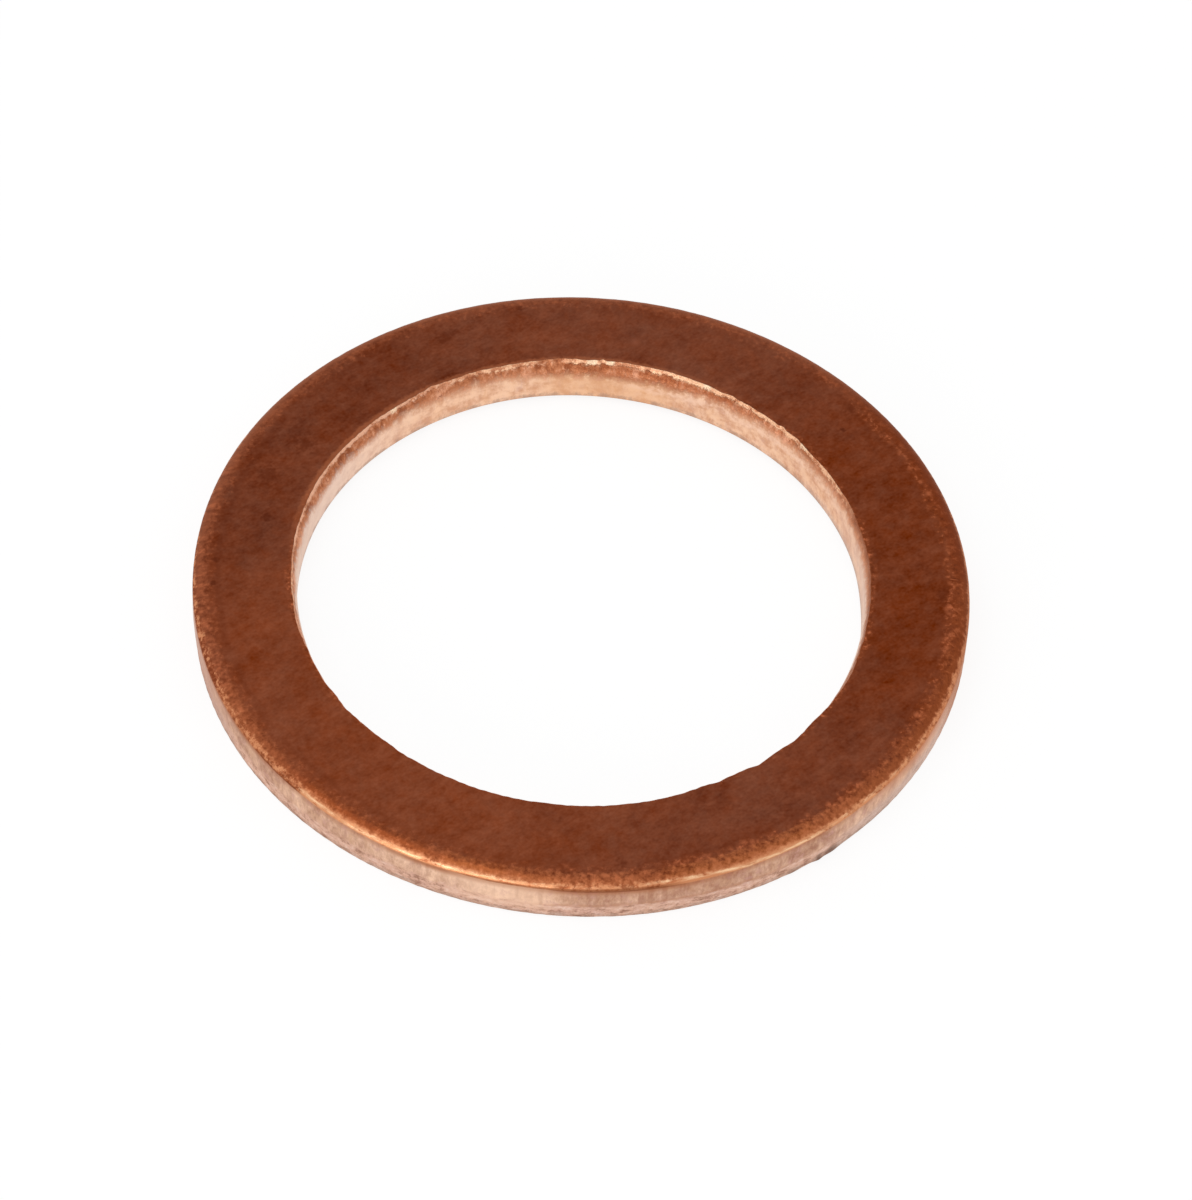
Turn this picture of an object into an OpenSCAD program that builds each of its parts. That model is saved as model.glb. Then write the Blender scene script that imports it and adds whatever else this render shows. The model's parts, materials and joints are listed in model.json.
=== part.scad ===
// Copper sealing washer for an oil sump plug, stamped from soft strip in one piece.
// It lies flat, with its axis on Z and its origin in the middle of the underside.
//
// The outer edge and the bore were sheared from opposite sides, so the section is
// not a plain rectangle. Each edge has three zones: a roll where the strip was drawn
// in, an upright land that the tool burnished, and a torn zone that leans away from
// it. The outer edge is rolled at the top, and the bore at the bottom.

/* [Washer] */
// Diameter of the bore at its burnished land, which the plug's thread passes through
bore_d = 16.05; // [12:0.05:18]
// Diameter of the outer edge at its burnished land
outer_d = 22.0; // [21:0.1:30]
// Thickness of the strip
thickness = 1.5; // [1.3:0.05:3]

/* [Outer edge] */
// Radius of the roll at the top of the outer edge
outer_roll_r = 0.45; // [0.3:0.05:0.6]
// Height of that roll, which meets the land at a slight edge
outer_roll_h = 0.25; // [0.1:0.05:0.3]
// Height of the torn zone at the bottom of the outer edge
outer_tear_h = 0.6; // [0.3:0.05:0.7]
// How far the torn zone draws in on its way down
outer_tear_in = 0.05; // [0.01:0.01:0.12]
// Radius that tumbling left on the bottom corner of the outer edge
outer_corner_r = 0.08; // [0.02:0.01:0.1]

/* [Bore] */
// Radius of the roll at the bottom of the bore
bore_roll_r = 0.45; // [0.3:0.05:0.6]
// Height of that roll, which meets the land at a slight edge
bore_roll_h = 0.25; // [0.1:0.05:0.3]
// Height of the torn zone at the top of the bore
bore_tear_h = 0.5; // [0.3:0.05:0.8]
// How far the torn zone opens out on its way up
bore_tear_out = 0.1; // [0.01:0.01:0.15]
// Radius that tumbling left on the top corner of the bore
bore_corner_r = 0.05; // [0.02:0.01:0.12]

/* [Hidden] */
$fn = 180;

copper = [0.55, 0.27, 0.16];

// Section of the ring with square corners, as radius and height
bore_r = bore_d / 2;
outer_r = outer_d / 2;
bore_bottom = [bore_r, 0];
bore_top = [bore_r + bore_tear_out, thickness];
outer_bottom = [outer_r - outer_tear_in, 0];
outer_top = [outer_r, thickness];
outer_past = overreach(outer_roll_r, outer_roll_h);
bore_past = overreach(bore_roll_r, bore_roll_h);

// How far the roll's quarter circle would reach past the wall that cuts it short
function overreach(radius, height) = radius - sqrt(radius ^ 2 - (radius - height) ^ 2);

// What rounding takes off a square corner; inwards points from it into the metal
module corner_waste(corner, inwards, radius) {
    middle = corner + radius * inwards;
    past = corner - radius * inwards;
    difference() {
        polygon([middle, [past.x, middle.y], past, [middle.x, past.y]]);
        translate(middle) circle(r = radius);
    }
}

// Sheared section of the ring, with its rolls and its tumbled corners
module ring_section() {
    difference() {
        polygon([
            bore_bottom,
            outer_bottom,
            [outer_bottom.x, outer_corner_r],
            [outer_r, outer_tear_h],
            outer_top,
            bore_top,
            [bore_top.x, thickness - bore_corner_r],
            [bore_r, thickness - bore_tear_h]
        ]);
        corner_waste(outer_top + [outer_past, 0], [-1, -1], outer_roll_r);
        corner_waste(outer_bottom, [-1, 1], outer_corner_r);
        corner_waste(bore_bottom - [bore_past, 0], [1, 1], bore_roll_r);
        corner_waste(bore_top, [1, -1], bore_corner_r);
    }
}

// The whole washer, turned from its section
module washer() {
    color(copper) rotate_extrude() ring_section();
}

washer();
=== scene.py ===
import json
import math

import bmesh
import bpy
from mathutils import Matrix, Vector, noise


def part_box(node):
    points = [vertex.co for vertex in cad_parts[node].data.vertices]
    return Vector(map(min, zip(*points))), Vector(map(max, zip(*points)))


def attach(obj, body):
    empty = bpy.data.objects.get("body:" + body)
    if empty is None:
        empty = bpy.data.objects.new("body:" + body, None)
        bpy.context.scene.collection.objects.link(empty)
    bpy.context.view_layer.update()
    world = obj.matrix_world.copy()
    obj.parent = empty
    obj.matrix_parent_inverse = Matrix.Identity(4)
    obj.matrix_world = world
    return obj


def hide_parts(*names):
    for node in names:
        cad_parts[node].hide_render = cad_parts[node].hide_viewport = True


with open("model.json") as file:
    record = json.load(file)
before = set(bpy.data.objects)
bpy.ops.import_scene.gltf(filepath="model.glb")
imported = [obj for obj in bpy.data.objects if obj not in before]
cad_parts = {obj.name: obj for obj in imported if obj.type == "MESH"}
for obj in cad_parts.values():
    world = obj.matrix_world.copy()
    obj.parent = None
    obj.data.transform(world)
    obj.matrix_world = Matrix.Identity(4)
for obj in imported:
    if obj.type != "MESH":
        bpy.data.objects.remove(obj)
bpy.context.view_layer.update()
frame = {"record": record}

# The ring is worked in millimetres, with its axis on Z and its underside at height 0
MM = 0.001
ring_low, ring_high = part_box("washer")
OUTER_R = min(ring_high.x, ring_high.y, -ring_low.x, -ring_low.y) / MM
THICKNESS = ring_high.z / MM
BORE_R = next(mount["dims"]["r_mm"] for mount in frame["record"]["mounts"] if mount["name"] == "bore")

# Both edges start with a roll that is cut short by the land: its radius and height, the lean of the
# metal where it meets the land, and how far it reaches in from the wall
ROLL_R = 0.45
ROLL_H = 0.25
ROLL_LEAN = math.asin((ROLL_R - ROLL_H) / ROLL_R)
ROLL_WIDE = ROLL_R * math.cos(ROLL_LEAN)
SHOULDER_R = OUTER_R - ROLL_WIDE
OUTER_LAND_TOP = THICKNESS - ROLL_H

# The outer edge, sheared from above: under the land is a torn zone that leans in
OUTER_TEAR_H = 0.6
OUTER_TEAR_IN = 0.05
OUTER_CORNER_R = 0.08

# The bore, sheared from below: over the land is a torn zone that opens out
BORE_TEAR_H = 0.5
BORE_TEAR_OUT = 0.1
BORE_CORNER_R = 0.05
BORE_BREAK = THICKNESS - BORE_TEAR_H
BORE_RIM_R = BORE_R + BORE_TEAR_OUT + BORE_CORNER_R
# How far out the wear of the bore's rim reaches on the top face
BORE_WORN_R = BORE_RIM_R + 0.3

# Size of the mesh's faces: steps in one sector of the ring, how often the sector is doubled to close
# the ring, the longest edge on walls and on flats, and how near two points are taken for one
SECTOR_STEPS = 70
DOUBLINGS = 4
WALL_STEP = 0.06
FLAT_STEP = 0.4
MERGE_WITHIN = 0.0005


# The ring's shape

def ring_section():
    """The sheared section as a closed line of edges in the XZ plane, with its rolls and tumbled corners."""
    section = bmesh.new()
    inset = ROLL_H * math.tan(ROLL_LEAN)
    tangent = ROLL_H / math.cos(ROLL_LEAN)
    corners = [
        # radius, height, and the length of edge that the rounding takes
        (BORE_R, ROLL_H, 0.0),
        (BORE_R + inset, 0.0, tangent),
        (OUTER_R - OUTER_TEAR_IN, 0.0, OUTER_CORNER_R),
        (OUTER_R - OUTER_TEAR_IN, OUTER_CORNER_R, 0.0),
        (OUTER_R, OUTER_TEAR_H, 0.0),
        (OUTER_R, OUTER_LAND_TOP, 0.0),
        (OUTER_R - inset, THICKNESS, tangent),
        (BORE_R + BORE_TEAR_OUT, THICKNESS, BORE_CORNER_R),
        (BORE_R + BORE_TEAR_OUT, THICKNESS - BORE_CORNER_R, 0.0),
        (BORE_R, BORE_BREAK, 0.0),
    ]
    points = [section.verts.new((radius, 0, height)) for radius, height, _ in corners]
    for here, there in zip(points, points[1:] + points[:1]):
        section.edges.new((here, there))
    for point, (_, _, rounding) in zip(points, corners):
        if rounding:
            # just short of the next corner, so that the two never share a place
            short = rounding * 0.999
            bmesh.ops.bevel(section, geom=[point], offset=short, offset_type="ABSOLUTE",
                            segments=max(5, round(2 * rounding / WALL_STEP)), profile=0.5,
                            affect="VERTICES", material=-1)
    for edge in list(section.edges):
        start, end = (point.co for point in edge.verts)
        step = FLAT_STEP if abs(end.x - start.x) > abs(end.z - start.z) else WALL_STEP
        cuts = round(edge.calc_length() / step) - 1
        if cuts > 0:
            bmesh.ops.subdivide_edges(section, edges=[edge], cuts=cuts)
    return section


def turned_ring():
    """The section turned round the axis into one sector, and the sector repeated into a closed ring."""
    ring = ring_section()
    sector = 2 * math.pi / 2 ** DOUBLINGS
    bmesh.ops.spin(ring, geom=ring.verts[:] + ring.edges[:], cent=(0, 0, 0), axis=(0, 0, 1),
                   angle=sector, steps=SECTOR_STEPS)
    for doubling in range(DOUBLINGS):
        copy = bmesh.ops.duplicate(ring, geom=ring.verts[:] + ring.edges[:] + ring.faces[:])
        moved = [part for part in copy["geom"] if isinstance(part, bmesh.types.BMVert)]
        turn = Matrix.Rotation(sector * 2 ** doubling, 3, "Z")
        bmesh.ops.rotate(ring, verts=moved, cent=(0, 0, 0), matrix=turn)
    bmesh.ops.remove_doubles(ring, verts=ring.verts, dist=MERGE_WITHIN)
    bmesh.ops.recalc_face_normals(ring, faces=ring.faces)
    return ring


def rise(value, low, high):
    """0 below low, 1 above high and a smooth way between; low may be the larger."""
    share = min(1.0, max(0.0, (value - low) / (high - low)))
    return share * share * (3 - 2 * share)


def waver(spot, round_rate, up_rate, shift=0.0):
    """Smooth chance from about -1 to 1, with so many swings a millimetre round the ring and up the wall."""
    round_ring = Vector((spot.x, spot.y, 0)).normalized() * OUTER_R * round_rate
    return noise.noise(round_ring + Vector((shift, 0, spot.z * up_rate)))


# Where the bore's top edge is nicked, or worn more than beside it, or less where the depth is below 0:
# angle round the ring, width along the edge and depth
BORE_NICKS = [
    (-140, 0.35, 0.035),
    (-128, 2.0, -0.035),
    (-125, 0.30, 0.020),
    (-100.5, 2.6, 0.018),
    (-80, 2.6, 0.025),
    (-61, 2.6, -0.040),
    (-60, 0.45, 0.025),
    (-51, 0.40, 0.055),
    (-42, 0.50, 0.045),
    (-21, 2.4, 0.022),
    (-9, 2.4, -0.035),
    (44, 0.30, 0.04),
    (48, 0.25, 0.05),
    (61, 0.30, 0.05),
    (62, 3.4, -0.048),
    (88.5, 0.12, 0.06),
    (98, 0.90, 0.06),
    (124, 0.35, 0.05),
    (143, 5.0, -0.055),
]
# Burrs that hang from the bottom of the outer edge: angle, width and how far they stand out, and how
# far one stands out that is painted dark all over, as shade
EDGE_BURRS = [
    (-48.2, 0.60, 0.035),
    (-50.4, 0.30, 0.045),
    (-54.8, 0.40, 0.015),
]
FULL_BURR = 0.035
# How deep the torn zones are drawn in all round, and how much more where they are rough
OUTER_TEAR_DEEP = 0.006
OUTER_TEAR_ROUGH = 0.020
BORE_TEAR_DEEP = 0.004
BORE_TEAR_ROUGH = 0.030
# Depth of the small dents in the roll, and of its waves near the land
ROLL_DENTS = 0.015
ROLL_WAVES = 0.006
# How far the bore's top edge is worn all round, and how much further on the far side
RIM_WEAR = 0.035
FAR_RIM_WEAR = 0.105
# How far the gentle waves of the top face dip below flat
FACE_DIP = 0.004
# Where the outer edge is a little flat: angle, width and depth
EDGE_FLATS = [
    (176, 9.0, 0.035),
]
# Where the bore is a little wider at its foot, or narrower where the depth is below 0
BORE_FEET = [
    (4, 2.4, -0.030),
    (36, 11.0, -0.027),
    (106, 5.5, 0.028),
]
# Where the outer edge's foot stands out instead of being drawn in
EDGE_FEET = [
    (-2, 8.0, 0.055),
    (-148, 13.0, 0.030),
]


def near_angle(spot, angle, width):
    """1 at that angle round the ring, falling to 0 over the width."""
    turn = math.atan2(spot.y, spot.x) - math.radians(angle)
    turn = (turn + math.pi) % (2 * math.pi) - math.pi
    along = turn * spot.to_2d().length
    return math.exp(-(2 * along / width) ** 2)


def outer_break(spot):
    """Height where the outer land ends and the torn zone starts, which wanders round the ring."""
    return OUTER_TEAR_H + 0.05 * waver(spot, 0.45, 0, 3.1) + 0.03 * waver(spot, 2.6, 0, 5.2)


def bore_break(spot):
    """Height where the bore's land ends and its torn zone starts, which wanders round the ring."""
    return BORE_BREAK + 0.05 + 0.10 * waver(spot, 0.5, 0, 9.4) + 0.06 * waver(spot, 2.4, 0, 1.7)


def wear_outer_edge(spot):
    """How far a point of the outer edge is pushed in, how torn it is and how much of a burr."""
    torn = rise(spot.z, outer_break(spot) + 0.06, outer_break(spot) - 0.06)
    rough = 0.5 + 0.5 * waver(spot, 5.0, 3.0, 2.2)
    depth = torn * (OUTER_TEAR_DEEP + OUTER_TEAR_ROUGH * rough)
    shoulder = rise(spot.z, OUTER_LAND_TOP, THICKNESS - 0.1)
    depth += ROLL_DENTS * shoulder * max(0.0, waver(spot, 2.2, 2.0, 7.7))
    above_land = rise(spot.z, OUTER_LAND_TOP - 0.1, OUTER_LAND_TOP + 0.05)
    depth += ROLL_WAVES * above_land * (1 + waver(spot, 6.0, 1.0, 0.4))
    for angle, width, flat in EDGE_FLATS:
        depth += flat * near_angle(spot, angle, width)
    for angle, width, out in EDGE_FEET:
        depth -= out * rise(spot.z, OUTER_TEAR_H, 0.1) * near_angle(spot, angle, width)
    low = rise(spot.z, 0.3, 0.05)
    burr = 0.0
    for angle, width, out in EDGE_BURRS:
        near = near_angle(spot, angle, width)
        depth -= out * low * near
        burr = max(burr, near * rise(spot.z, 0.34, 0.22) * min(1.0, out / FULL_BURR))
    return depth, torn, burr


def wear_bore(spot):
    """How far a point of the bore is pushed into the metal, and how torn it is."""
    torn = rise(spot.z, bore_break(spot) - 0.12, bore_break(spot) + 0.12)
    rough = 0.5 + 0.5 * waver(spot, 4.0, 2.0, 4.6)
    depth = torn * (BORE_TEAR_DEEP + BORE_TEAR_ROUGH * rough)
    top = rise(spot.z, THICKNESS - 0.35, THICKNESS - 0.02)
    far = math.sin(math.atan2(spot.y, spot.x) - math.radians(18))
    depth += top * (RIM_WEAR + 0.030 * waver(spot, 0.8, 0, 6.3) + 0.014 * waver(spot, 3.2, 0, 2.9))
    depth += top * rise(far, 0.3, 0.8) * (FAR_RIM_WEAR + 0.012 * waver(spot, 5.5, 0, 1.3))
    for angle, width, out in BORE_FEET:
        depth += out * near_angle(spot, angle, width) * rise(spot.z, 0.6, 0.25)
    for angle, width, nick in BORE_NICKS:
        depth += top * nick * near_angle(spot, angle, width)
    return depth, torn


def bare_wall(spot, radius):
    """How far the bore's wall, and not the tarnished face, shows at a point."""
    beyond = Vector((BORE_RIM_R - radius, spot.z - (THICKNESS - BORE_CORNER_R)))
    tilt = 90.0
    if beyond.x > 0.0001:
        tilt = math.degrees(math.atan2(max(0.0, beyond.y), beyond.x))
    low = rise(spot.z, 0.0, 0.1) if radius < BORE_R + ROLL_WIDE else 0.0
    return rise(tilt, 75, 45) * max(low, rise(spot.z, 0.2, 0.3))


def wear_ring(ring):
    """Moves the turned ring's points as shearing and tumbling did, and notes on each what shows there."""
    torn_note = ring.verts.layers.float.new("torn")
    bore_note = ring.verts.layers.float.new("bore_wall")
    burr_note = ring.verts.layers.float.new("burr")
    for point in ring.verts:
        spot = point.co
        outwards = Vector((spot.x, spot.y, 0)).normalized()
        radius = spot.to_2d().length
        height = spot.z
        if radius > SHOULDER_R:
            depth, torn, point[burr_note] = wear_outer_edge(spot)
            place = min(OUTER_R, radius - depth)
        elif radius < BORE_WORN_R:
            depth, torn = wear_bore(spot)
            edge = rise(radius, BORE_WORN_R, BORE_R + BORE_TEAR_OUT)
            place = radius + depth * edge
            torn *= edge
            point[bore_note] = bare_wall(spot, radius)
        else:
            place, torn = radius, 0.0
        point[torn_note] = torn
        if height > THICKNESS - 0.001:
            height -= FACE_DIP * (1 + waver(spot, 0.35, 0, 8.8))
        point.co = outwards * place + Vector((0, 0, height))


def make_washer():
    """The whole washer as one mesh in metres."""
    ring = turned_ring()
    wear_ring(ring)
    bmesh.ops.scale(ring, verts=ring.verts, vec=(MM, MM, MM))
    mesh = bpy.data.meshes.new("copper_washer")
    for face in ring.faces:
        face.smooth = True
    ring.to_mesh(mesh)
    ring.free()
    washer = bpy.data.objects.new("copper_washer", mesh)
    bpy.context.scene.collection.objects.link(washer)
    return washer


# Shader nodes written as sums

class Wire:
    """One output of a node. Sums on it add Math nodes to the same tree."""

    def __init__(self, bench, node, output=0):
        self.bench = bench
        self.node = node
        self.socket = node.outputs[output] if node.outputs else None

    def out(self, output):
        return Wire(self.bench, self.node, output)

    def math(self, operation, *terms):
        return self.bench.add("ShaderNodeMath", {"operation": operation}, dict(enumerate(terms)))

    def __add__(self, other):
        return self.math("ADD", self, other)

    def __sub__(self, other):
        return self.math("SUBTRACT", self, other)

    def __rsub__(self, other):
        return self.math("SUBTRACT", other, self)

    def __mul__(self, other):
        return self.math("MULTIPLY", self, other)

    def __truediv__(self, other):
        return self.math("DIVIDE", self, other)

    def __pow__(self, other):
        return self.math("POWER", self, other)

    __radd__ = __add__
    __rmul__ = __mul__


class Bench:
    """A node tree under construction."""

    def __init__(self, tree):
        self.tree = tree
        tree.nodes.clear()

    def add(self, kind, settings=None, inputs=None, output=0):
        """Adds one node: its settings first, then the values or wires of its inputs."""
        node = self.tree.nodes.new(kind)
        for name, value in (settings or {}).items():
            setattr(node, name, value)
        for name, value in (inputs or {}).items():
            if isinstance(value, Wire):
                self.tree.links.new(value.socket, node.inputs[name])
            else:
                node.inputs[name].default_value = value
        return Wire(self, node, output)

    def vector(self, operation, *terms, output=0):
        return self.add("ShaderNodeVectorMath", {"operation": operation}, dict(enumerate(terms)), output)

    def blend(self, share, first, second):
        """A colour that goes from the first to the second as the share goes from 0 to 1."""
        return self.add("ShaderNodeMix", {"data_type": "RGBA"}, {0: share, 6: first, 7: second}, output=2)

    def rise(self, value, low, high):
        """0 below low, 1 above high and a smooth way between; low may be the larger."""
        if low > high:
            return 1 - self.rise(value, high, low)
        return self.add("ShaderNodeMapRange", {"interpolation_type": "SMOOTHSTEP"},
                        {"Value": value, "From Min": low, "From Max": high})

    def band(self, value, low, high, soft):
        """1 from low to high, with soft borders."""
        return self.rise(value, low - soft, low + soft) * self.rise(value, high + soft, high - soft)

    def cloud(self, place, rate, detail=2.0, rough=0.5):
        """Noise about 0.5, with so many swings a millimetre."""
        return self.add("ShaderNodeTexNoise", {"noise_dimensions": "3D"},
                        {"Vector": place, "Scale": rate, "Detail": detail, "Roughness": rough})

    def specks(self, place, rate, size):
        """Specks of uneven shape and strength, so many a millimetre."""
        shake = self.vector("MULTIPLY", self.cloud(place, rate * 1.5, 3, 0.7).out("Color"), (0.8 / rate,) * 3)
        place = self.vector("ADD", place, shake)
        cells = self.add("ShaderNodeTexVoronoi", {"feature": "F1"}, {"Vector": place, "Scale": rate})
        chance = self.add("ShaderNodeSeparateColor", inputs={0: cells.out("Color")})
        return self.rise(cells.out("Distance"), size, size * 0.25) * self.rise(chance, 0.25, 0.85)

    def uneven(self, cloud, most, colour, low, high):
        """The colour, taken up to that share to low where the cloud is thin and to high where it is thick."""
        colour = self.blend(self.rise(cloud, 0.5, 0.25) * most, colour, low)
        return self.blend(self.rise(cloud, 0.5, 0.75) * most, colour, high)

    def grain(self, colour, cloud, tone, share=1.0):
        """The colour with a tone added where the cloud is thick and taken off where it is thin."""
        return self.vector("MULTIPLY_ADD", (cloud - 0.5) * share, tone, colour)

    def note(self, name):
        """What the mesh notes at each point under that name."""
        return self.add("ShaderNodeAttribute", {"attribute_name": name}, output="Fac")


def shade(red, green, blue):
    """A colour as it looks on screen, 0 to 255, as the linear light that shaders take."""
    levels = [level / 255 for level in (red, green, blue)]
    return tuple(s / 12.92 if s <= 0.04045 else ((s + 0.055) / 1.055) ** 2.4 for s in levels) + (1.0,)


# The copper's finishes

FACE_BROWN = shade(118, 61, 39)
# painted lighter than the rest of the face, standing in for lamp light on the left
FACE_LIT_LEFT = shade(127, 64, 38)
FACE_RIGHT = shade(114, 52, 26)
FACE_FAR = shade(113, 56, 34)
FACE_DEEP = shade(92, 38, 18)
FACE_PALE = shade(144, 84, 62)
FACE_WARM = shade(144, 72, 38)
FACE_SPECK = shade(196, 112, 74)
FACE_PIT = shade(84, 32, 14)
ROLL_BROWN = shade(144, 78, 50)
ROLL_DARK = shade(120, 53, 24)
ROLL_WARM = shade(154, 84, 46)
ROLL_WORN_OFF = shade(184, 110, 72)
ROLL_DULL = shade(162, 90, 58)
ROLL_BRIGHT = shade(216, 148, 105)
# the colour of the painted highlight line on the roll
ROLL_GLEAM = shade(255, 214, 170)
DRAW_WARM = shade(168, 100, 62)
DRAW_LINE = shade(120, 62, 34)
LAND_PALE = shade(255, 214, 184)
LAND_DULL = shade(166, 116, 94)
LAND_YELLOW = shade(216, 172, 140)
LAND_PINK = shade(208, 160, 150)
LAND_TAN = shade(188, 122, 88)
LAND_ORANGE = shade(198, 126, 86)
LAND_SIDE = shade(186, 124, 100)
LAND_GREY = shade(206, 184, 174)
OUTER_TORN = shade(226, 183, 161)
OUTER_TORN_DEEP = shade(160, 114, 94)
OUTER_TORN_PALE = shade(244, 212, 196)
# painted shade for the outer wall's foot by the floor
OUTER_FOOT_SHADE = shade(150, 120, 106)
# painted shade for the burrs
BURR_SHADE = shade(92, 62, 52)
BORE_LAND = shade(250, 205, 172)
BORE_LAND_DULL = shade(216, 160, 127)
BORE_LAND_YELLOW = shade(238, 180, 132)
BORE_LAND_PINK = shade(226, 184, 168)
BORE_SIDE = shade(240, 220, 209)
# painted highlight for the bore's lip
BORE_LIP_HIGHLIGHT = shade(252, 210, 184)
BORE_TORN = shade(192, 122, 84)
BORE_TORN_DEEP = shade(140, 74, 44)
BORE_TORN_LIGHT = shade(234, 172, 138)
# painted shade for the bore's foot by the floor
BORE_FOOT_SHADE = shade(170, 138, 122)
# painted highlight colours for the bore's far rim
RIM_HIGHLIGHT = shade(246, 196, 158)
RIM_GLINT = shade(255, 222, 188)
RIM_DULL = shade(206, 140, 104)
RIM_PINK = shade(236, 182, 154)

# What one step more light adds to the red, green and blue of tarnished copper, and what a
# warmer tint adds to them
TARNISH_LIGHT = (0.210, 0.093, 0.054)
TARNISH_TINT = (0.070, -0.010, -0.020)

# How much the surface acts as metal does, and how rough the tarnish is
METALNESS = 0.95
TARNISH_ROUGHNESS = 0.50

# The strip was rolled in this direction, and along it the fine grain changes so much more slowly
GRAIN_TURN = math.radians(42)
GRAIN_STRETCH = 0.6


class RingPlaces:
    """Where a point of the ring is, in millimetres, as wires for its patterns."""

    def __init__(self, bench):
        self.bench = bench
        metres = bench.add("ShaderNodeTexCoord", output="Object")
        self.point = bench.vector("MULTIPLY", metres, (1 / MM,) * 3)
        across = bench.add("ShaderNodeSeparateXYZ", inputs={0: self.point})
        self.x, self.y, self.height = across.out("X"), across.out("Y"), across.out("Z")
        self.radius = (self.x * self.x + self.y * self.y) ** 0.5
        self.east = self.x / self.radius
        self.north = self.y / self.radius
        run = self.x * math.cos(GRAIN_TURN) + self.y * math.sin(GRAIN_TURN)
        side = self.y * math.cos(GRAIN_TURN) - self.x * math.sin(GRAIN_TURN)
        self.strip = bench.add("ShaderNodeCombineXYZ",
                               inputs={0: run * GRAIN_STRETCH, 1: side, 2: self.height})

    def along(self, run, rate):
        """Places that change once a millimetre round the ring, and at the given rate along run."""
        return self.bench.add("ShaderNodeCombineXYZ",
                              inputs={0: self.east * OUTER_R, 1: self.north * OUTER_R, 2: run * rate})

    def marks(self, lie, rate, detail, rough):
        """Noise on the walls, long along the ring where lie is over 1, and upright where it is under 1."""
        return self.bench.cloud(self.along(self.height, lie), rate, detail, rough)

    def facing(self, angle):
        """1 on the side of the ring at that angle, -1 on the far side."""
        return self.east * math.cos(math.radians(angle)) + self.north * math.sin(math.radians(angle))

    def stretch(self, angle, spread, soft=1.5):
        """1 over so many degrees each way from an angle, with ends that are soft over so many degrees."""
        return self.bench.rise(self.facing(angle), math.cos(math.radians(spread + soft)),
                               math.cos(math.radians(max(0.5, spread - soft))))

    def spot(self, angle, radius, size, ragged):
        """1 at a spot on the face, falling to 0 at its size, with a border as uneven as the ragged noise."""
        turn = math.radians(angle)
        middle = (radius * math.cos(turn), radius * math.sin(turn), THICKNESS)
        away = self.bench.vector("DISTANCE", self.point, middle, output="Value")
        return self.bench.rise(away + (ragged - 0.5) * size * 3.0, size, size * 0.1)

    def scratch(self, angle, radius, lean, length, width):
        """1 along a hairline on the face; lean turns it from the direction round the ring."""
        turn = math.radians(angle)
        way = turn + math.pi / 2 + math.radians(lean)
        middle = (radius * math.cos(turn), radius * math.sin(turn), THICKNESS)
        off = self.bench.vector("SUBTRACT", self.point, middle)
        run = self.bench.vector("DOT_PRODUCT", off, (math.cos(way), math.sin(way), 0), output="Value")
        side = self.bench.vector("DOT_PRODUCT", off, (-math.sin(way), math.cos(way), 0), output="Value")
        return (self.bench.rise(run.math("ABSOLUTE", run), length / 2, length / 4)
                * self.bench.rise(side.math("ABSOLUTE", side), width, width * 0.3))


# Hairlines on the face: angle, radius, lean, length and half width
FACE_SCRATCHES = [
    (-2.5, 10.66, 48, 0.60, 0.035),
    (-7.0, 10.74, 42, 0.65, 0.035),
    (-9.0, 10.60, 55, 0.35, 0.030),
    (4.0, 10.55, 80, 0.30, 0.025),
]
# Spots on the face: angle, radius, size, tint and how strong it is
FACE_SPOTS = [
    (40.4, 9.52, 0.16, FACE_PIT, 0.7),
    (0.7, 10.20, 0.30, FACE_DEEP, 0.4),
    (43.0, 10.25, 0.30, FACE_DEEP, 0.4),
    (102.6, 10.43, 0.12, FACE_PIT, 0.5),
    (115.9, 10.03, 0.45, FACE_DEEP, 0.45),
    (152.0, 9.21, 0.45, FACE_DEEP, 0.55),
    (160.7, 9.61, 0.45, FACE_DEEP, 0.5),
    (170.6, 9.17, 0.18, FACE_PIT, 0.5),
    (-178.9, 10.35, 0.12, FACE_PIT, 0.6),
    (-174.2, 10.39, 0.12, FACE_PIT, 0.6),
    (-81.0, 10.20, 0.25, FACE_DEEP, 0.5),
    (82.9, 9.17, 0.22, FACE_PALE, 0.5),
    (-41.6, 9.25, 0.14, FACE_PALE, 0.4),
]
# Stretches of the roll painted bright, partly copper that handling rubbed and partly a painted highlight:
# angle, degrees each way and how bright
ROLL_RUBBED_AND_LIT = [
    (-145, 9.0, 0.32),
    (-134.5, 5.0, 0.30),
    (-121, 11.0, 0.85),
    (-109, 4.0, 0.45),
    (-103, 4.8, 0.95),
    (-94, 4.0, 0.70),
    (-89, 4.0, 0.45),
    (-81, 7.5, 0.45),
    (-63, 12.5, 1.0),
    (-46, 9.0, 0.62),
    (-34, 8.5, 0.48),
    (-20, 10.5, 0.38),
    (-6, 10.0, 0.26),
]
# Dark lines at the foot of the roll: angle, degrees each way, depth of the middle and half the height
DRAW_LINES = [
    (-136.5, 3.5, 0.245, 0.020),
    (-97, 8.0, 0.225, 0.025),
    (-82, 8.0, 0.245, 0.048),
]
# Glints on the bore's far rim: angle and degrees each way
RIM_GLINTS = [
    (41.5, 0.9),
    (66.5, 0.8),
    (86.9, 0.7),
    (90.6, 1.0),
    (134, 0.6),
]


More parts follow.
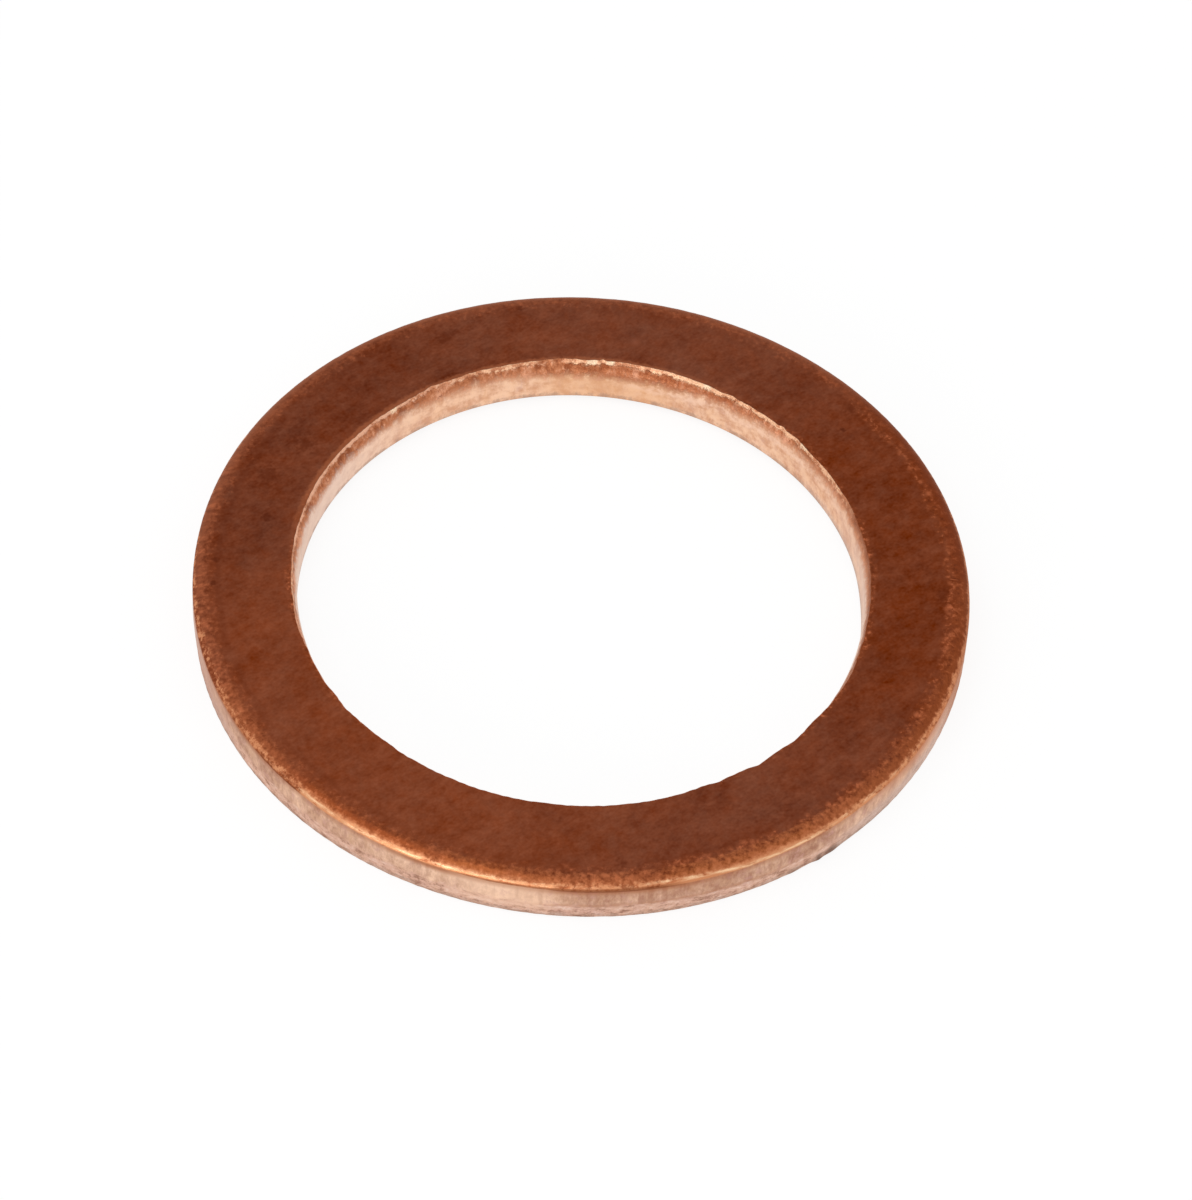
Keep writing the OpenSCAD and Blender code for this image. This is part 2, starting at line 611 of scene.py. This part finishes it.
def tarnish(bench, at, fleck, tints):
    """Brown that is warmer on two sides, with the strip's fine grain; on the left it is also painted lighter,
    standing in for lamp light.
    """
    # painted light: the left of the face is made lighter, as if lit
    colour = bench.blend(bench.rise(at.facing(-145), 0.2, 0.8), FACE_BROWN, FACE_LIT_LEFT)
    colour = bench.blend(bench.rise(at.facing(10), 0.60, 0.97), colour, FACE_RIGHT)
    colour = bench.blend(bench.rise(at.facing(150), 0.68, 0.95), colour, FACE_FAR)
    colour = bench.grain(colour, fleck, TARNISH_LIGHT)
    return bench.grain(colour, tints, TARNISH_TINT)


def thin_by_bore_with_glints(bench, at, colour, clouds, grit):
    """Next to the bore the tarnish is thinner, most of all to the right and left, and there its specks are
    partly painted glints.
    """
    sides = bench.rise(at.facing(10), 0.3, 0.9) + bench.rise(at.facing(180), 0.6, 0.95)
    thin = bench.rise(at.radius + (clouds - 0.5) * 0.4, BORE_RIM_R + 0.24, BORE_RIM_R)
    colour = bench.blend(thin * sides * 0.35, colour, FACE_WARM)
    # specks by the bore, partly painted glints, strongest to the right and left
    colour = bench.uneven(grit, thin * (0.2 + 0.7 * sides), colour, FACE_DEEP, FACE_SPECK)
    # a narrow warm fringe on the face by the far rim, a painted glow around the rim's highlight
    rim_glow_fringe = bench.rise(at.radius + (grit - 0.5) * 0.20, BORE_RIM_R + 0.27, BORE_RIM_R + 0.17)
    return bench.blend(rim_glow_fringe * bench.rise(at.facing(120), 0.45, 0.85) * 0.35, colour, ROLL_WORN_OFF)


def speckle_by_roll(bench, at, colour, clouds, tints, grit):
    """The ring of specks where the face turns into the roll, and the darker ring just inside it."""
    inside = bench.band(at.radius + (clouds - 0.5) * 0.3, SHOULDER_R - 0.42, SHOULDER_R - 0.22, 0.08)
    inside = inside * bench.rise(tints, 0.30, 0.62) * 1.3
    # darkest to the left
    dark = 0.12 + 0.14 * bench.rise(at.facing(-170), 0.6, 0.9)
    colour = bench.blend(inside * dark, colour, FACE_DEEP)
    # the specks are strongest to the right and at the front, where they are partly painted glints
    ring = bench.band(at.radius + (clouds - 0.5) * 0.5, SHOULDER_R - 0.24, SHOULDER_R + 0.14, 0.12)
    strong = bench.rise(at.facing(-25), 0.1, 0.8) * bench.rise(tints, 0.30, 0.60)
    strong = strong * (1 - 0.3 * at.stretch(-61, 11, 8))
    colour = bench.blend(ring * (0.05 + 0.3 * strong), colour, FACE_WARM)
    colour = bench.uneven(grit, ring * (0.3 + 0.5 * strong), colour, FACE_DEEP, FACE_SPECK)
    return bench.blend(ring * strong * bench.specks(at.point, 3.4, 0.5) * 0.7, colour, FACE_SPECK)


def face_colour(bench, at):
    """Tarnished brown, thinner by the bore and speckled by the roll, with spots and hairlines."""
    fleck = bench.cloud(at.strip, 0.8, 4, 1.0) + (bench.cloud(at.point, 7.0, 1, 1.0) - 0.5) * 0.32
    clouds = bench.cloud(at.point, 1.0, 2, 0.6)
    tints = bench.cloud(at.point, 0.7, 4, 0.85)
    grit = bench.cloud(at.point, 6.5, 2, 0.7)
    colour = tarnish(bench, at, fleck, tints)
    colour = thin_by_bore_with_glints(bench, at, colour, clouds, grit)
    colour = speckle_by_roll(bench, at, colour, clouds, tints, grit)
    for angle, radius, lean, length, width in FACE_SCRATCHES:
        colour = bench.blend(at.scratch(angle, radius, lean, length, width) * 0.45, colour, FACE_SPECK)
    for angle, radius, size, tint, strength in FACE_SPOTS:
        colour = bench.blend(at.spot(angle, radius, size, fleck) * strength, colour, tint)
    return colour, fleck, grit


def roll_wear_and_highlight(at):
    """How bright the roll is painted round the ring: partly the wear of handling, partly a painted highlight.
    """
    wear_and_highlight = 0.0
    for angle, spread, bright in ROLL_RUBBED_AND_LIT:
        place = at.stretch(angle, spread, 2.5) * bright
        wear_and_highlight = place.math("MAXIMUM", place, wear_and_highlight)
    return wear_and_highlight


def browned_roll(bench, at, face, ragged, grit, wear_and_highlight):
    """The top of the roll, where the face's brown turns into the roll's."""
    brown = bench.blend(bench.rise(at.facing(8), 0.60, 0.95), ROLL_BROWN, ROLL_DARK)
    # warmer where the roll is worn and carries its painted highlight
    brown = bench.blend(wear_and_highlight, brown, ROLL_WARM)
    # painted shade: darker at the front left, to temper the front lamp's highlight there
    brown = bench.blend(at.stretch(-123, 12, 6) * 0.60, brown, ROLL_DARK)
    colour = bench.blend(bench.rise(ragged, -0.05, 0.06), face, brown)
    # rubbed paler already at its top in two places, partly where the painted highlight sits higher
    early_rub_and_highlight = at.stretch(-59, 12, 8) * 0.45 + at.stretch(-86, 7, 4) * 0.45
    early_rub_and_highlight = early_rub_and_highlight * bench.rise(ragged, -0.12, 0.16) * bench.rise(grit, 0.36, 0.60)
    colour = bench.blend(early_rub_and_highlight, colour, ROLL_WORN_OFF)
    # dashes across the roll on the left
    dashes = bench.cloud(at.along(at.radius, 0.35), 5.0, 2, 0.6)
    left = bench.rise(at.facing(-172), 0.75, 0.97) * bench.rise(at.radius, SHOULDER_R, SHOULDER_R + 0.15)
    colour = bench.uneven(dashes, left * 0.6, colour, FACE_DEEP, FACE_SPECK)
    gritty = 0.35 - 0.22 * bench.rise(at.facing(90), -0.1, 0.4)
    return bench.uneven(grit, gritty, colour, FACE_DEEP, FACE_SPECK)


def rubbed_and_highlit_roll(bench, at, down, ragged, grit, slivers, wear_and_highlight):
    """The roll's bright copper: a bright line, which is a painted highlight, and slivers that run round the
    ring.
    """
    # the painted highlight line wanders a little up and down, and breaks into long slivers
    wander = at.marks(0.0, 0.5, 2, 0.5)
    glints = at.marks(9.0, 1.2, 4, 0.7)
    low = down - at.stretch(-53, 12, 8) * 0.025 + at.stretch(-78, 8, 5) * 0.012
    line = bench.band(low + (slivers - 0.5) * 0.10 + (wander - 0.5) * 0.14, 0.145, 0.190, 0.035)
    # darker round the painted highlight at the front right, so that it shows as a narrow line
    front_right = at.stretch(-64, 13, 6)
    base = bench.blend(front_right * 0.35, ROLL_BRIGHT, ROLL_WORN_OFF)
    bright = bench.blend(line * bench.rise(glints + front_right * 0.10, 0.39, 0.67), base, ROLL_GLEAM)
    texture = slivers + (grit - 0.5) * (0.8 - 0.5 * wear_and_highlight) + wear_and_highlight * 0.22
    share = bench.rise(texture, 0.46, 0.66) * bench.rise(wear_and_highlight, 0.15, 0.70) * bench.rise(ragged, 0.09, 0.16)
    bright = bench.blend(share, ROLL_WORN_OFF, bright)
    # where little was rubbed, only grains of it show
    grains = (bench.cloud(at.point, 5.0, 3, 0.8) - 0.5) * 2.4 + (slivers - 0.5) * 0.6 + 0.5
    calm = 1 - 0.5 * bench.rise(at.facing(-175), 0.80, 0.97)
    dull = bench.uneven(grains, calm, ROLL_DULL, ROLL_DARK, ROLL_BRIGHT)
    bright = bench.blend(bench.rise(wear_and_highlight, 0.05, 0.45), dull, bright)
    return bench.uneven(grains, bench.rise(wear_and_highlight, 0.85, 0.35) * 0.6, bright, ROLL_DARK, ROLL_BRIGHT)


def roll_colour(bench, at, face, grit, slivers, wear_and_highlight):
    """From the tarnished face down to rubbed copper."""
    down = THICKNESS - at.height
    ragged = down + (grit - 0.5) * 0.15 + (slivers - 0.5) * 0.05
    brown = browned_roll(bench, at, face, ragged, grit, wear_and_highlight)
    bright = rubbed_and_highlit_roll(bench, at, down, ragged, grit, slivers, wear_and_highlight)
    # to the right the rubbed copper and its painted highlight start lower down
    start = ragged - bench.rise(at.facing(-25), 0.82, 0.97) * 0.035
    # and on the far half only near its foot
    start = start - bench.rise(at.facing(-90), 0.30, -0.05) * 0.09
    colour = bench.blend(bench.rise(start, 0.045, 0.13), brown, bright)
    # at the right edge it is tan at its foot
    tan = bench.rise(down + (grit - 0.5) * 0.16, 0.13, 0.21) * bench.rise(at.facing(0), 0.955, 0.985)
    return bench.blend(tan * 0.7, colour, LAND_TAN)


def outer_land(bench, at, streaks, patches, tints):
    """The outer edge's burnished land, with soft upright blotches."""
    # how rubbed the land is, with a painted highlight that makes it lighter at the front and darker beside it
    # to the right
    rubbing_and_sheen = bench.rise(at.facing(-99), 0.975, 0.995) * 0.28 - bench.rise(at.facing(-68), 0.85, 0.98) * 0.10
    rubbing_and_sheen = rubbing_and_sheen + bench.rise(at.facing(-26), 0.90, 0.98) * 0.06
    rubbing_and_sheen = rubbing_and_sheen - at.stretch(-53, 8, 3) * bench.band(at.height, 0.7, 1.0, 0.12) * 0.12
    broad = at.marks(0.25, 0.8, 3, 0.7)
    rubbing_and_sheen = rubbing_and_sheen + patches * 0.5 + streaks * 1.3 + broad * 1.1 - 0.93
    # the far side is more even
    rubbing_and_sheen = (rubbing_and_sheen - 0.5) * (1 - 0.45 * bench.rise(at.facing(90), -0.25, 0.25)) + 0.5
    land = bench.blend(bench.rise(rubbing_and_sheen, 0.0, 1.1), LAND_DULL, LAND_PALE)
    land = bench.uneven(tints, 0.9, land, LAND_PINK, LAND_YELLOW)
    # fine upright lines that the tool drew
    lines = at.marks(0.12, 4.0, 2, 0.6)
    drawn = 0.22 + 0.35 * at.stretch(-70, 14, 6) + 0.15 * at.stretch(-101, 10, 5)
    land = bench.blend(bench.rise(lines, 0.45, 0.30) * drawn, land, LAND_DULL)
    # warmer towards the roll
    upper = bench.rise(at.height + (streaks - 0.5) * 0.2, OUTER_LAND_TOP - 0.24, OUTER_LAND_TOP - 0.02)
    warm = 0.45 + 0.25 * at.stretch(-82, 12, 4) + 0.3 * at.stretch(-153, 12, 4)
    warm = warm + 0.40 * at.stretch(-105, 9, 5)
    land = bench.blend(upper * warm, land, DRAW_WARM)
    return bench.blend(at.stretch(-80, 14, 6) * bench.rise(at.height, 0.6, 1.0) * 0.22, land, DRAW_WARM)


def outer_torn(bench, streaks, tints, ledges):
    """The outer edge's torn zone, in ledges that run round the ring."""
    torn = bench.uneven(ledges, 1.0, OUTER_TORN, OUTER_TORN_DEEP, OUTER_TORN_PALE)
    torn = bench.uneven(ledges + (streaks - 0.5) * 0.8, 0.8, torn, OUTER_TORN_DEEP, OUTER_TORN_PALE)
    return bench.uneven(tints, 0.4, torn, LAND_PINK, LAND_YELLOW)


def outer_wall_colour(bench, at, streaks, patches, tints, tearing, ledges, burr):
    """Land, then the torn zone and its grey foot, which is painted shade."""
    streaky_height = at.height + (streaks - 0.5) * 0.4
    reddened = bench.rise(streaky_height, 0.65, 1.25) * bench.rise(at.facing(-12), 0.86, 0.96)
    land = bench.blend(reddened * 0.95, outer_land(bench, at, streaks, patches, tints), LAND_ORANGE)
    zone = bench.rise(at.height + (patches - 0.5) * 0.5 + (tearing - 0.5) * 0.3, 0.70, 0.44)
    colour = bench.blend(zone, land, outer_torn(bench, streaks, tints, ledges))
    # a warm seam between them at the front, and beside it a paler stretch that is a painted highlight
    seam = bench.band(at.height + (patches - 0.5) * 0.3, 0.56, 0.66, 0.09) * at.stretch(-75, 18, 5)
    colour = bench.blend(seam * bench.rise(streaks, 0.25, 0.60) * 0.55, colour, DRAW_WARM)
    colour = bench.blend(at.stretch(-99, 6, 3) * bench.rise(at.height, 0.15, 0.40) * 0.35, colour, LAND_PALE)
    # greyer low down on both sides
    grey = bench.rise(at.facing(-29), 0.93, 0.985) + bench.rise(at.facing(-163), 0.96, 0.99)
    colour = bench.blend(grey * bench.rise(streaky_height, 0.95, 0.35) * 0.6, colour, LAND_GREY)
    # and browner at the right and left ends
    colour = bench.blend(bench.rise(at.facing(-3), 0.93, 0.985) * 0.7, colour, LAND_TAN)
    colour = bench.blend(bench.rise(at.facing(-178), 0.84, 0.985) * 0.6, colour, LAND_SIDE)
    # the grey foot, painted shade where the wall meets the floor, and the burrs, painted dark as shade
    reach = at.height + (tearing - 0.5) * 0.35 + (patches - 0.5) * 0.30
    foot = bench.rise(reach, 0.26, 0.12) * bench.rise(at.facing(-14), 0.98, 0.90)
    colour = bench.blend(foot * bench.rise(tearing, 0.75, 0.35) * 0.6, colour, OUTER_FOOT_SHADE)
    return bench.blend(burr * 0.75, colour, BURR_SHADE)


def bore_land(bench, at, streaks, tints, smears, sides):
    """The bore's burnished land, yellower at the back and greyer at the sides."""
    land = bench.blend(bench.rise(smears + (streaks - 0.5) * 0.4, 0.30, 0.66), BORE_LAND_DULL, BORE_LAND)
    land = bench.uneven(tints, 0.45, land, BORE_LAND_PINK, BORE_LAND_YELLOW)
    land = bench.blend(at.stretch(87, 12, 6) * 0.45, land, BORE_LAND_YELLOW)
    return bench.blend(sides * 0.7, land, BORE_SIDE)


def bore_torn(bench, at, patches, tearing):
    """The bore's torn zone, redder where the tearing went deeper, and painted darker at the back right as
    shade against the front lamp.
    """
    mottles = (patches - 0.5) * 1.5 + 0.5
    rough = bench.uneven(mottles, 0.9, BORE_TORN, BORE_TORN_DEEP, BORE_TORN_LIGHT)
    rough = bench.uneven(tearing, 1.0, rough, BORE_TORN_DEEP, BORE_TORN_LIGHT)
    rough = bench.blend(at.stretch(20, 14, 6) * 0.25, rough, BORE_TORN_LIGHT)
    # painted shade at the back right, where the front lamp lights the bore; darker too at the back left and
    # high up to the right
    deep_and_shaded = at.stretch(74, 16, 6) * 0.30 + at.stretch(155, 10, 6) * 0.12
    deep_and_shaded = deep_and_shaded + at.stretch(8, 18, 8) * bench.rise(at.height, 1.22, 1.47) * 0.75
    return bench.blend(deep_and_shaded, rough, BORE_TORN_DEEP)


def bore_wall_colour(bench, at, streaks, tints, tearing):
    """Land that fades upwards into the torn zone."""
    patches = at.marks(1.0, 1.9, 4, 0.7)
    smears = at.marks(1.8, 1.6, 4, 0.65)
    sides = bench.rise(at.facing(78), 0.75, 0.10)
    land = bore_land(bench, at, streaks, tints, smears, sides)
    ragged = at.height + (patches - 0.5) * 0.60 + (tearing - 0.5) * 0.35
    ragged = ragged + at.stretch(86, 16, 4) * 0.10 + at.stretch(151, 12, 10) * 0.10
    ragged = ragged - at.stretch(38, 14, 6) * 0.07 - sides * 0.05
    zone = bench.rise(ragged, BORE_BREAK - 0.02, BORE_BREAK + 0.28)
    colour = bench.blend(zone, land, bore_torn(bench, at, patches, tearing))
    # a pale lip between them to the right, painted as a highlight
    lip_highlight = bench.band(ragged, BORE_BREAK - 0.14, BORE_BREAK + 0.02, 0.08) * bench.rise(smears, 0.30, 0.60)
    colour = bench.blend(lip_highlight * bench.rise(at.facing(50), 0.75, 0.97) * 0.8, colour, BORE_LIP_HIGHLIGHT)
    # grey blotches at the foot, painted shade where the wall nears the floor, and more grey there to the
    # right
    foot = bench.rise(at.height + (streaks - 0.5) * 0.20, ROLL_H + 0.19, ROLL_H + 0.05)
    colour = bench.blend(foot * bench.rise(patches, 0.38, 0.60) * 0.6, colour, BORE_FOOT_SHADE)
    low = bench.rise(at.height + (streaks - 0.5) * 0.3, 0.60, 0.30) * bench.rise(at.facing(10), 0.80, 0.95)
    colour = bench.blend(low * 0.4, colour, LAND_GREY)
    # browner under the face at the near right
    near = bench.rise(at.facing(-24), 0.84, 0.97) * bench.rise(ragged, 1.00, 1.35)
    return bench.blend(near * 0.5, colour, BORE_TORN_DEEP)


def bore_colour(bench, at, streaks, tints, tearing):
    """The bore's wall under its far rim, which is painted bright and broken as a highlight, and how far that
    rim shows.
    """
    colour = bore_wall_colour(bench, at, streaks, tints, tearing)
    # the painted highlight of the rim and the painted shade under it show only on the far side
    far = bench.rise(at.facing(108), 0.02, 0.20)
    shine = at.marks(2.0, 1.3, 3, 0.65)
    edge = at.height + (tearing - 0.5) * 0.12 + (shine - 0.5) * 0.14
    # a dark line under the rim, painted shade, and then the rim itself with its painted highlight
    under = bench.band(edge, THICKNESS - 0.22, THICKNESS - 0.16, 0.04)
    under = under * (0.12 + 0.45 * at.stretch(73, 14, 6))
    colour = bench.blend(under * far, colour, BORE_TORN_DEEP)
    left = at.stretch(150, 30, 8)
    edge = edge + (tearing - 0.5) * 0.10 - left * 0.015
    rim = bench.rise(edge, THICKNESS - 0.145, THICKNESS - 0.085) * far * bench.rise(shine, 0.26, 0.40)
    rim = rim * (1 - 0.9 * at.stretch(98.5, 2.6))
    # painted extra light on the rim at the back right and the left
    painted_rim_light = at.stretch(52, 20, 8) * 0.12 + at.stretch(152, 22, 8) * 0.18
    bright = bench.rise(shine + (tearing - 0.5) * 1.5 + painted_rim_light, 0.38, 0.68)
    metal = bench.blend(bright, RIM_DULL, bench.blend(left * 0.7, RIM_HIGHLIGHT, RIM_PINK))
    # painted glints at the listed angles
    for angle, spread in RIM_GLINTS:
        glint = at.stretch(angle, spread, 0.4)
        rim = rim.math("MAXIMUM", rim, glint * bench.rise(edge, THICKNESS - 0.14, THICKNESS - 0.08))
        metal = bench.blend(glint, metal, RIM_GLINT)
    return bench.blend(rim * 0.95, colour, metal), rim


def drawn_in(bench, at, slivers):
    """1 along the dark lines under the roll, where the metal was drawn in."""
    down = THICKNESS - at.height + (slivers - 0.5) * 0.05
    drawn = 0.0
    for angle, spread, depth, half in DRAW_LINES:
        drawn = at.stretch(angle, spread, 2.5) * bench.band(down, depth - half, depth + half, 0.02) + drawn
    return drawn.math("MINIMUM", drawn, 1.0)


def copper():
    """Soft copper: tarnished faces, a roll with bright wear and a painted highlight, paler sheared walls, and
    painted highlights and shade at the bore's rim and the feet.
    """
    material = bpy.data.materials.new("copper")
    material.use_nodes = True
    bench = Bench(material.node_tree)
    at = RingPlaces(bench)
    torn, on_bore, burr = bench.note("torn"), bench.note("bore_wall"), bench.note("burr")
    on_roll = bench.rise(at.radius, SHOULDER_R - 0.12, SHOULDER_R)
    on_wall = bench.rise(at.height, OUTER_LAND_TOP + 0.02, OUTER_LAND_TOP - 0.02)
    on_wall = on_wall * bench.rise(at.radius, SHOULDER_R, SHOULDER_R + 0.05)
    # marks that run up the walls, round the ring or neither way
    streaks = at.marks(0.5, 5.5, 4, 0.75)
    slivers = at.marks(7.0, 2.1, 4, 0.7)
    ledges = at.marks(2.5, 2.2, 4, 0.75)
    patches = at.marks(0.8, 1.3, 4, 0.65)
    tints = at.marks(0.7, 2.7, 4, 0.8)
    tearing = at.marks(1.8, 4.5, 4, 0.75)
    wear_and_highlight = roll_wear_and_highlight(at)

    face, fleck, grit = face_colour(bench, at)
    roll = roll_colour(bench, at, face, grit, slivers, wear_and_highlight)
    wall = outer_wall_colour(bench, at, streaks, patches, tints, tearing, ledges, burr)
    bore, rim = bore_colour(bench, at, streaks, tints, tearing)
    drawn = drawn_in(bench, at, slivers) * on_roll
    colour = bench.blend(on_roll * bench.rise(at.height, 0.2, 0.4), face, roll)
    colour = bench.blend(on_wall, colour, wall)
    colour = bench.blend(drawn * 0.6, colour, DRAW_LINE)
    colour = bench.blend(on_bore, colour, bore)

    # bare and rubbed copper is smoother than tarnish
    bare = (on_wall + on_bore) * (1 - torn * 0.6)
    rubbing_and_sheen = on_roll * wear_and_highlight * (1 - on_wall)
    roughness = TARNISH_ROUGHNESS - 0.20 * bare - rubbing_and_sheen * 0.18 + rubbing_and_sheen * (0.5 - slivers) * 0.6
    roughness = roughness + 0.12 * drawn
    roughness = roughness + on_wall * bench.rise(at.facing(-1), 0.94, 0.985) * 0.25
    # heights of the fine relief, in millimetres
    relief = fleck * 0.010 + on_roll * (1 - on_wall) * (slivers * 0.008 + grit * 0.006)
    relief = relief + (on_wall + on_bore) * (streaks * 0.008 + torn * tearing * 0.03)
    relief = relief + on_bore * rim * grit * 0.03
    bump = bench.add("ShaderNodeBump", inputs={"Height": relief, "Distance": MM, "Strength": 1.0})
    shader = bench.add("ShaderNodeBsdfPrincipled", inputs={
        "Base Color": colour,
        "Metallic": METALNESS,
        "Roughness": roughness,
        "Normal": bump,
        "Specular IOR Level": 0.2,
        "Specular Tint": (0.90, 0.78, 0.70, 1.0),
    })
    bench.add("ShaderNodeOutputMaterial", inputs={"Surface": shader})
    return material


# The studio

PHOTO_WIDE = 1192
PHOTO_HIGH = 1200
SENSOR = 36.0
FOCAL_PIXELS = 6056
CAMERA_ELEVATION = math.radians(49.74)
CAMERA_ROLL = math.radians(3.48)
CAMERA_AWAY = 172.04 * MM
# How far the picture's middle lies from the middle of the underside, to the right and up
AIM_RIGHT = 0.463 * MM
AIM_UP = 0.310 * MM

# Strength of the white studio as a light, next to 1 as a background
STUDIO_LIGHT = 0.6
# The floor: half its width, how far it lies under the ring, its grey as a light and as a background,
# and the glow that makes it white to the camera
FLOOR_REACH = 2.0
FLOOR_DROP = 0.02 * MM
FLOOR_PAPER = (0.9, 0.9, 0.9, 1)
FLOOR_FAINT = (0.18, 0.18, 0.18, 1)
FLOOR_GLOW = 0.87


def make_camera():
    """The camera at the picture's viewing angle, a little rolled."""
    back = Vector((0, -math.cos(CAMERA_ELEVATION), math.sin(CAMERA_ELEVATION)))
    level = Vector((1, 0, 0))
    upright = back.cross(level)
    right = math.cos(CAMERA_ROLL) * level + math.sin(CAMERA_ROLL) * upright
    up = back.cross(right)
    camera = bpy.data.objects.new("camera", bpy.data.cameras.new("camera"))
    bpy.context.scene.collection.objects.link(camera)
    camera.data.sensor_width = SENSOR
    camera.data.lens = FOCAL_PIXELS / max(PHOTO_WIDE, PHOTO_HIGH) * SENSOR
    camera.data.clip_start = 1 * MM
    place = AIM_RIGHT * right + AIM_UP * up + CAMERA_AWAY * back
    turn = Matrix((right, up, back)).transposed()
    camera.matrix_world = Matrix.Translation(place) @ turn.to_4x4()
    bpy.context.scene.camera = camera


def make_lamp(name, azimuth, elevation, away, wide, high, brightness):
    """A soft lamp that looks at the ring. Azimuth 0 is the camera's side, and brightness 1 is white."""
    side, lift = math.radians(azimuth), math.radians(elevation)
    towards = Vector((math.sin(side) * math.cos(lift), -math.cos(side) * math.cos(lift), math.sin(lift)))
    light = bpy.data.lights.new(name, "AREA")
    light.shape = "RECTANGLE"
    light.size = wide
    light.size_y = high
    light.energy = brightness * math.pi * wide * high
    lamp = bpy.data.objects.new(name, light)
    lamp.location = towards * away
    lamp.rotation_euler = towards.to_track_quat("Z", "Y").to_euler()
    bpy.context.scene.collection.objects.link(lamp)


def seen_directly(bench):
    """1 where the camera looks, straight or by way of metal or glass, and 0 where only light is gathered."""
    path = bench.add("ShaderNodeLightPath")
    direct = path.out("Is Camera Ray") + path.out("Is Glossy Ray") + path.out("Is Transmission Ray")
    return direct.math("MINIMUM", direct, 1.0)


def make_world():
    """An even white studio, a little dimmer as a light than as a background."""
    world = bpy.data.worlds.new("studio")
    bpy.context.scene.world = world
    world.use_nodes = True
    bench = Bench(world.node_tree)
    strength = STUDIO_LIGHT + (1 - STUDIO_LIGHT) * seen_directly(bench)
    sky = bench.add("ShaderNodeBackground", inputs={"Color": (1, 1, 1, 1), "Strength": strength})
    bench.add("ShaderNodeOutputWorld", inputs={"Surface": sky})


def make_floor():
    """A white floor that keeps a faint shadow of the ring."""
    plane = bmesh.new()
    bmesh.ops.create_grid(plane, x_segments=1, y_segments=1, size=FLOOR_REACH)
    bmesh.ops.translate(plane, verts=plane.verts, vec=(0, 0, -FLOOR_DROP))
    mesh = bpy.data.meshes.new("floor")
    plane.to_mesh(mesh)
    plane.free()
    floor = bpy.data.objects.new("floor", mesh)
    bpy.context.scene.collection.objects.link(floor)
    material = bpy.data.materials.new("white_paper")
    material.use_nodes = True
    bench = Bench(material.node_tree)
    paper = bench.add("ShaderNodeBsdfDiffuse", inputs={"Color": FLOOR_PAPER})
    faint = bench.add("ShaderNodeBsdfDiffuse", inputs={"Color": FLOOR_FAINT})
    glow = bench.add("ShaderNodeEmission", inputs={"Color": (1, 1, 1, 1), "Strength": FLOOR_GLOW})
    bright = bench.add("ShaderNodeAddShader", inputs={0: faint, 1: glow})
    surface = bench.add("ShaderNodeMixShader", inputs={0: seen_directly(bench), 1: paper, 2: bright})
    bench.add("ShaderNodeOutputMaterial", inputs={"Surface": surface})
    mesh.materials.append(material)


washer = make_washer()
washer.data.materials.append(copper())
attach(washer, "root")
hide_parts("washer")

make_floor()
make_world()
make_lamp("front_lamp", azimuth=-24, elevation=20, away=0.4, wide=0.34, high=0.10, brightness=2.75)
make_lamp("top_lamp", azimuth=-60, elevation=65, away=0.5, wide=0.35, high=0.35, brightness=0.8)
make_camera()
bpy.context.scene.view_settings.view_transform = "Standard"
